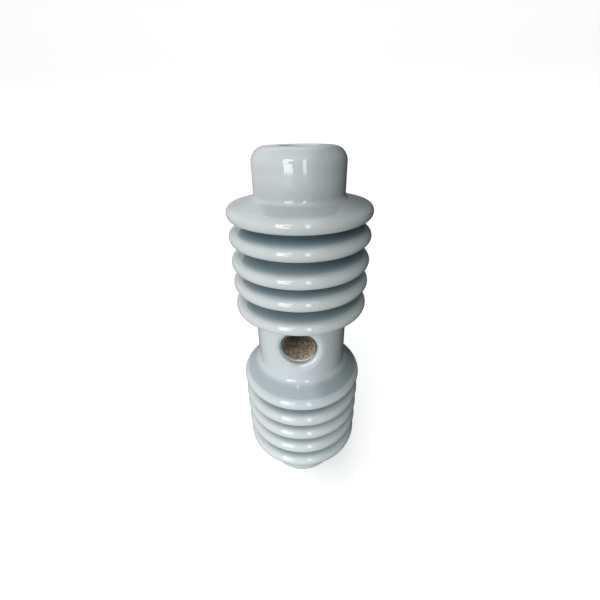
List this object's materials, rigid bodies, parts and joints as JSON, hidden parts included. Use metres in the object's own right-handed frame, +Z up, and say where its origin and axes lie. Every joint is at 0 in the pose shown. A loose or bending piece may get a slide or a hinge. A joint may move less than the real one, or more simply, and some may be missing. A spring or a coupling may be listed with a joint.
{
  "type": "porcelain insulator",
  "caption": "Bare glazed porcelain body of a fuse cutout: two stacks of rounded sheds, a plain waist with a sand-lined radial socket, and a socket in each end.",
  "frame": {"origin": "centre of the flat foot face, on the turned axis", "axes": "+Z up the turned axis from the foot to the head; the waist socket opens towards -Y"},
  "size_m": [0.12, 0.12, 0.3413],
  "materials": {
    "glazed_porcelain": "gloss pale blue-grey glaze over white porcelain",
    "sand_grit": "coarse fired sand, unglazed"
  },
  "bodies": {
    "root": {"porcelain_body": "glazed_porcelain", "center_socket_grit": "sand_grit", "top_socket_grit": "sand_grit", "foot_socket_grit": "sand_grit"}
  },
  "joints": []
}
